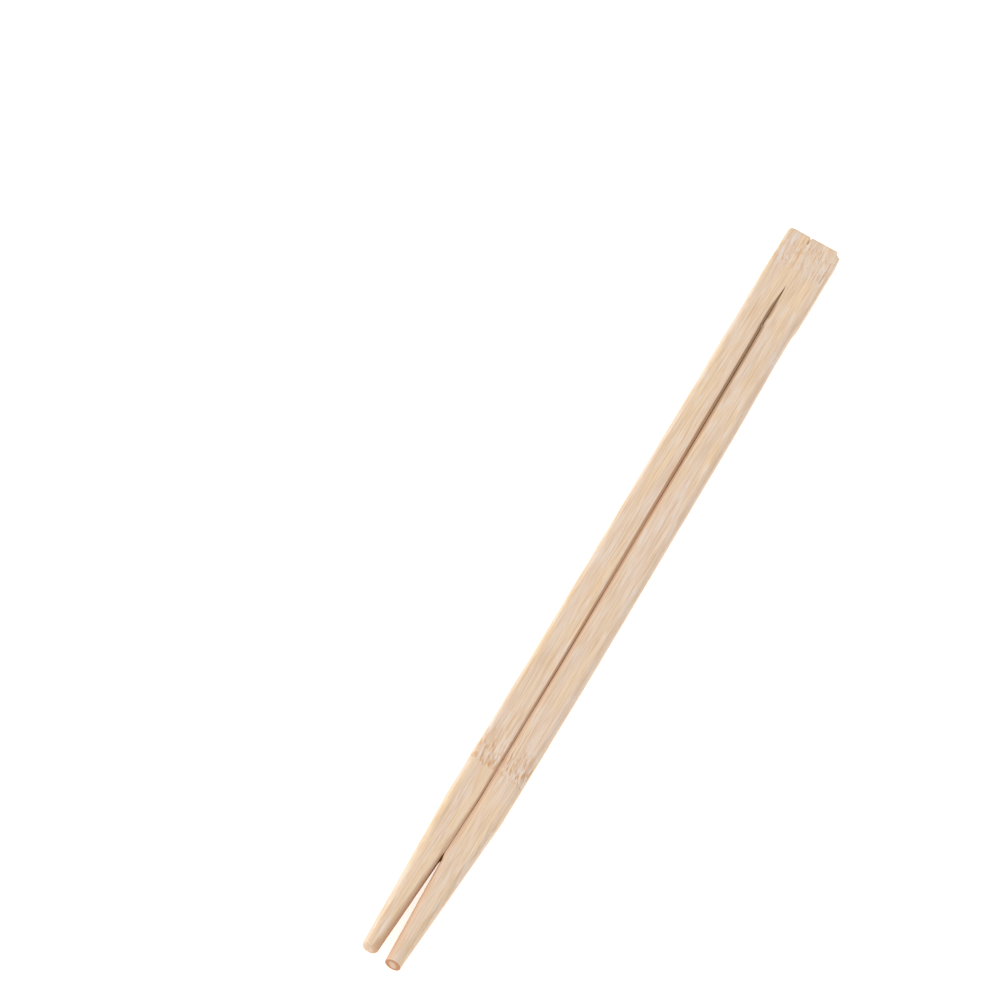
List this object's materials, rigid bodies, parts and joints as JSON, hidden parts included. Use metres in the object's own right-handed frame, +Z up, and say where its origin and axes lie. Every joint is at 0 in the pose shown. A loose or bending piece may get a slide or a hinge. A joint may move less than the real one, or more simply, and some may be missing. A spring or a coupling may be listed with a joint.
{
  "type": "joined bamboo chopsticks",
  "caption": "Slim pair of plain bamboo chopsticks, still joined at a flat rectangular head and parted by a narrow slit, with tapered round tips, to be snapped apart for eating.",
  "frame": {"origin": "on the underside, in the middle of the length and of the strip's width", "axes": "+Y along the sticks towards the joined head, +X across the pair to the right, +Z up from the surface it lies on"},
  "size_m": [0.0148, 0.23, 0.005],
  "materials": {
    "bamboo": "matte, unvarnished, fine lengthwise fibres"
  },
  "bodies": {
    "root": {"chopstick_pair": "bamboo"}
  },
  "joints": []
}
